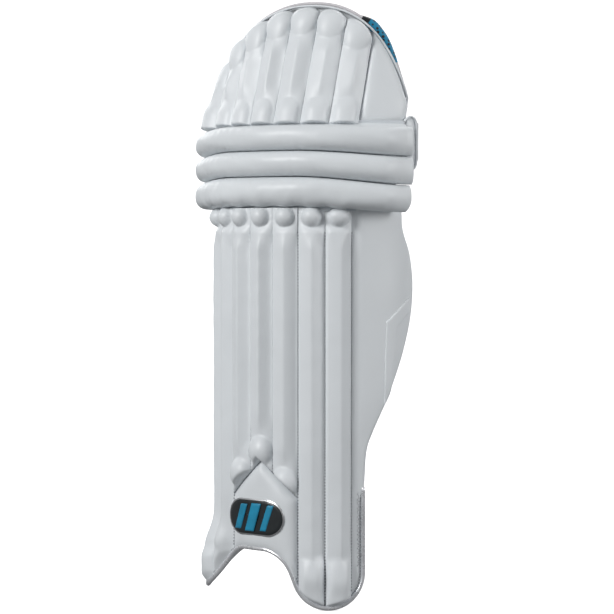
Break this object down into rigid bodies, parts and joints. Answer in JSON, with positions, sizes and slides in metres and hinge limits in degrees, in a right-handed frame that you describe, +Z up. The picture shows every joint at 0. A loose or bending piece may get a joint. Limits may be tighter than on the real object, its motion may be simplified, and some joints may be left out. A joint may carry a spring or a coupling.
{
  "type": "cricket leg pad",
  "caption": "Batting leg pad: upright shin rolls, three cross knee rolls that flex, leaning top section, curved side wings and closed leg straps with wire rings.",
  "frame": {"origin": "on the axis of the leg that wears the pad, level with the lowest point of the pad's rounded feet", "axes": "+Z up the leg, -Y out of the front of the pad, +X towards the large outer wing (the wearer's left)"},
  "size_m": [0.3008, 0.2019, 0.708],
  "materials": {
    "face_material": "satin, coated white face material",
    "filling": "matt wadding and light foam",
    "cane": "plain split cane",
    "board": "stiff quilted felt board",
    "lining": "matt knitted lining",
    "bolster": "matt padded cotton",
    "bright_binding": "bright silver-grey coated tape",
    "badge": "satin moulded badge",
    "strap_webbing": "matt loop-faced webbing",
    "tab_webbing": "matt woven webbing",
    "hook_tape": "matt hook tape",
    "ring_wire": "satin nickel-plated wire"
  },
  "bodies": {
    "shin": {"ankle_ring_tab": "tab_webbing", "ankle_strap": "strap_webbing", "calf_ring_tab": "tab_webbing", "calf_strap": "strap_webbing", "foot_flaps": "face_material", "inner_wing_cover": "face_material", "inner_wing_foam": "filling", "instep_badge": "badge", "instep_binding": "bright_binding", "instep_panel": "face_material", "outer_wing_cover": "face_material", "outer_wing_foam": "filling", "outer_wing_trim": "bright_binding", "shin_backing": "board", "shin_bolsters": "bolster", "shin_cane_rods": "cane", "shin_lining": "lining", "shin_roll_cover_1": "face_material", "shin_roll_cover_2": "face_material", "shin_roll_cover_3": "face_material", "shin_roll_cover_4": "face_material", "shin_roll_cover_5": "face_material", "shin_roll_cover_6": "face_material", "shin_roll_cover_7": "face_material", "shin_roll_filling": "filling"},
    "knee_lower": {"knee_roll_cover_lower": "face_material", "knee_roll_foam_lower": "filling", "knee_backing_lower": "board"},
    "knee_middle": {"knee_roll_cover_middle": "face_material", "knee_roll_foam_middle": "filling", "knee_backing_middle": "board", "knee_cup": "lining"},
    "knee_upper": {"knee_roll_cover_upper": "face_material", "knee_roll_foam_upper": "filling", "knee_backing_upper": "board", "knee_strap": "strap_webbing", "knee_ring_tab": "tab_webbing"},
    "top": {"top_backing": "board", "top_binding": "bright_binding", "top_bolster": "bolster", "top_cane_rods": "cane", "top_lining": "lining", "top_roll_cover_1": "face_material", "top_roll_cover_2": "face_material", "top_roll_cover_3": "face_material", "top_roll_cover_4": "face_material", "top_roll_cover_5": "face_material", "top_roll_cover_6": "face_material", "top_roll_cover_7": "face_material", "top_roll_filling": "filling", "top_side_flaps": "face_material"},
    "calf_tail": {"calf_strap_tail": "strap_webbing", "calf_hook_patch": "hook_tape"},
    "calf_ring": {"calf_ring": "ring_wire"},
    "ankle_tail": {"ankle_strap_tail": "strap_webbing", "ankle_hook_patch": "hook_tape"},
    "ankle_ring": {"ankle_ring": "ring_wire"},
    "knee_tail": {"knee_strap_tail": "strap_webbing", "knee_hook_patch": "hook_tape"},
    "knee_ring": {"knee_ring": "ring_wire"}
  },
  "joints": [
    {"name": "knee_flex_1", "type": "hinge", "parent": "shin", "child": "knee_lower", "pos_m": [0, -0.018, 0.467], "axis": [-1, 0, 0], "range_deg": [0, 3], "stiffness_Nm_per_rad": 4, "springref_deg": -6.88},
    {"name": "knee_flex_2", "type": "hinge", "parent": "knee_lower", "child": "knee_middle", "pos_m": [0, -0.018, 0.502], "axis": [-1, 0, 0], "range_deg": [0, 3], "stiffness_Nm_per_rad": 3.6, "springref_deg": -6.88},
    {"name": "knee_flex_3", "type": "hinge", "parent": "knee_middle", "child": "knee_upper", "pos_m": [0, -0.018, 0.532], "axis": [-1, 0, 0], "range_deg": [0, 3], "stiffness_Nm_per_rad": 3.2, "springref_deg": -6.88},
    {"name": "knee_flex_4", "type": "hinge", "parent": "knee_upper", "child": "top", "pos_m": [0, -0.018, 0.565], "axis": [-1, 0, 0], "range_deg": [0, 3], "stiffness_Nm_per_rad": 2.8, "springref_deg": -6.88},
    {"name": "calf_tail_peel", "type": "hinge", "parent": "shin", "child": "calf_tail", "pos_m": [0.08209, 0.05305, 0.345], "axis": [0, 0, -1], "range_deg": [0, 95]},
    {"name": "calf_ring_play", "type": "hinge", "parent": "shin", "child": "calf_ring", "pos_m": [0.08919, 0.03531, 0.345], "axis": [0, 0, 1], "range_deg": [-3, 3]},
    {"name": "ankle_tail_peel", "type": "hinge", "parent": "shin", "child": "ankle_tail", "pos_m": [0.04655, 0.04804, 0.17], "axis": [0, 0, -1], "range_deg": [0, 95]},
    {"name": "ankle_ring_play", "type": "hinge", "parent": "shin", "child": "ankle_ring", "pos_m": [0.05593, 0.0314, 0.17], "axis": [0, 0, 1], "range_deg": [-3, 3]},
    {"name": "knee_tail_peel", "type": "hinge", "parent": "knee_upper", "child": "knee_tail", "pos_m": [0.07095, 0.07834, 0.543], "axis": [0, 0, -1], "range_deg": [0, 95]},
    {"name": "knee_ring_play", "type": "hinge", "parent": "knee_upper", "child": "knee_ring", "pos_m": [0.07756, 0.06042, 0.543], "axis": [0, 0, 1], "range_deg": [-3, 3]}
  ],
  "couplings": [
    {"joint": "knee_flex_2", "follows": "knee_flex_1", "ratio": 1},
    {"joint": "knee_flex_3", "follows": "knee_flex_1", "ratio": 1},
    {"joint": "knee_flex_4", "follows": "knee_flex_1", "ratio": 1}
  ]
}
